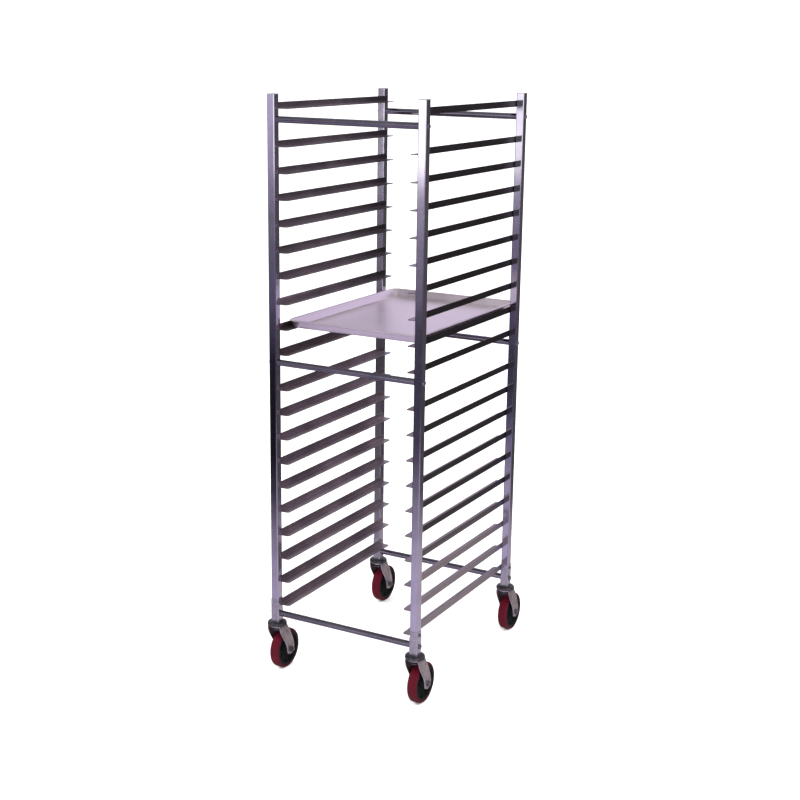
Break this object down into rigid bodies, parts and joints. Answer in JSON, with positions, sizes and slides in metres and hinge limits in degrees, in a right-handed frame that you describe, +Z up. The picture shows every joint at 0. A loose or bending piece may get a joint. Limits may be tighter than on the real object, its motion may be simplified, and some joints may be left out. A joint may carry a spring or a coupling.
{
  "type": "sheet pan rack",
  "caption": "Open end-loading aluminium rack on swivel casters, with paired angle ledges that hold sheet pans and one pan in place.",
  "frame": {"origin": "on the floor, under the middle of the box that the whole rack fills with its casters trailing to the rear", "axes": "+Z up, -Y the loading front, +X the right-hand side seen from the front"},
  "size_m": [0.55, 0.7684, 1.778],
  "materials": {
    "post_aluminium": "extruded mill finish with a soft polish",
    "ledge_aluminium": "extruded mill finish, worn along the pan faces",
    "brace_aluminium": "drawn round tube, satin",
    "pan_aluminium": "bright pressed sheet",
    "foot_steel": "zinc plated, satin",
    "race_steel": "zinc plated, dark with grease",
    "fork_steel": "zinc plated pressing",
    "fastener_steel": "zinc plated",
    "bearing_steel": "polished balls in a pressed cage",
    "cap_plastic": "moulded, fine texture",
    "core_plastic": "moulded black, slightly glossy",
    "tread_polyurethane": "cast polyurethane, semi-gloss"
  },
  "bodies": {
    "rack": {"post_front_left": "post_aluminium", "post_front_right": "post_aluminium", "post_rear_left": "post_aluminium", "post_rear_right": "post_aluminium", "post_caps": "cap_plastic", "post_feet": "foot_steel", "front_bottom_brace": "brace_aluminium", "front_middle_brace": "brace_aluminium", "front_top_brace": "brace_aluminium", "rear_bottom_brace": "brace_aluminium", "rear_middle_brace": "brace_aluminium", "rear_top_brace": "brace_aluminium", "brace_inserts": "fastener_steel", "brace_bolts": "fastener_steel", "ledges_level_01": "ledge_aluminium", "ledges_level_02": "ledge_aluminium", "ledges_level_03": "ledge_aluminium", "ledges_level_04": "ledge_aluminium", "ledges_level_05": "ledge_aluminium", "ledges_level_06": "ledge_aluminium", "ledges_level_07": "ledge_aluminium", "ledges_level_08": "ledge_aluminium", "ledges_level_09": "ledge_aluminium", "ledges_level_10": "ledge_aluminium", "ledges_level_11": "ledge_aluminium", "ledges_level_12": "ledge_aluminium", "ledges_level_13": "ledge_aluminium", "ledges_level_14": "ledge_aluminium", "ledges_level_15": "ledge_aluminium", "ledges_level_16": "ledge_aluminium", "ledges_level_17": "ledge_aluminium", "ledges_level_18": "ledge_aluminium", "ledges_level_19": "ledge_aluminium", "ledges_level_20": "ledge_aluminium", "caster_stem_front_left": "race_steel", "caster_stem_front_right": "race_steel", "caster_stem_rear_left": "race_steel", "caster_stem_rear_right": "race_steel", "stem_screws": "fastener_steel", "swivel_bearings": "bearing_steel"},
    "fork_front_left": {"fork_front_left": "fork_steel", "axle_front_left": "fastener_steel"},
    "wheel_front_left": {"wheel_core_front_left": "core_plastic", "wheel_tread_front_left": "tread_polyurethane"},
    "fork_front_right": {"fork_front_right": "fork_steel", "axle_front_right": "fastener_steel"},
    "wheel_front_right": {"wheel_core_front_right": "core_plastic", "wheel_tread_front_right": "tread_polyurethane"},
    "fork_rear_left": {"fork_rear_left": "fork_steel", "axle_rear_left": "fastener_steel"},
    "wheel_rear_left": {"wheel_core_rear_left": "core_plastic", "wheel_tread_rear_left": "tread_polyurethane"},
    "fork_rear_right": {"fork_rear_right": "fork_steel", "axle_rear_right": "fastener_steel"},
    "wheel_rear_right": {"wheel_core_rear_right": "core_plastic", "wheel_tread_rear_right": "tread_polyurethane"},
    "pan": {"sheet_pan": "pan_aluminium"}
  },
  "joints": [
    {"name": "swivel_front_left", "type": "hinge", "parent": "rack", "child": "fork_front_left", "pos_m": [-0.24447, -0.35425, 0.155], "axis": [0, 0, 1], "continuous": true},
    {"name": "roll_front_left", "type": "hinge", "parent": "fork_front_left", "child": "wheel_front_left", "pos_m": [-0.24447, -0.31425, 0.0635], "axis": [1, 0, 0], "continuous": true},
    {"name": "swivel_front_right", "type": "hinge", "parent": "rack", "child": "fork_front_right", "pos_m": [0.24447, -0.35425, 0.155], "axis": [0, 0, 1], "continuous": true},
    {"name": "roll_front_right", "type": "hinge", "parent": "fork_front_right", "child": "wheel_front_right", "pos_m": [0.24447, -0.31425, 0.0635], "axis": [1, 0, 0], "continuous": true},
    {"name": "swivel_rear_left", "type": "hinge", "parent": "rack", "child": "fork_rear_left", "pos_m": [-0.24447, 0.28075, 0.155], "axis": [0, 0, 1], "continuous": true},
    {"name": "roll_rear_left", "type": "hinge", "parent": "fork_rear_left", "child": "wheel_rear_left", "pos_m": [-0.24447, 0.32075, 0.0635], "axis": [1, 0, 0], "continuous": true},
    {"name": "swivel_rear_right", "type": "hinge", "parent": "rack", "child": "fork_rear_right", "pos_m": [0.24447, 0.28075, 0.155], "axis": [0, 0, 1], "continuous": true},
    {"name": "roll_rear_right", "type": "hinge", "parent": "fork_rear_right", "child": "wheel_rear_right", "pos_m": [0.24447, 0.32075, 0.0635], "axis": [1, 0, 0], "continuous": true},
    {"name": "pan_slide", "type": "slide", "parent": "rack", "child": "pan", "axis": [0, -1, 0], "range_m": [-0.545, 0.635]}
  ]
}
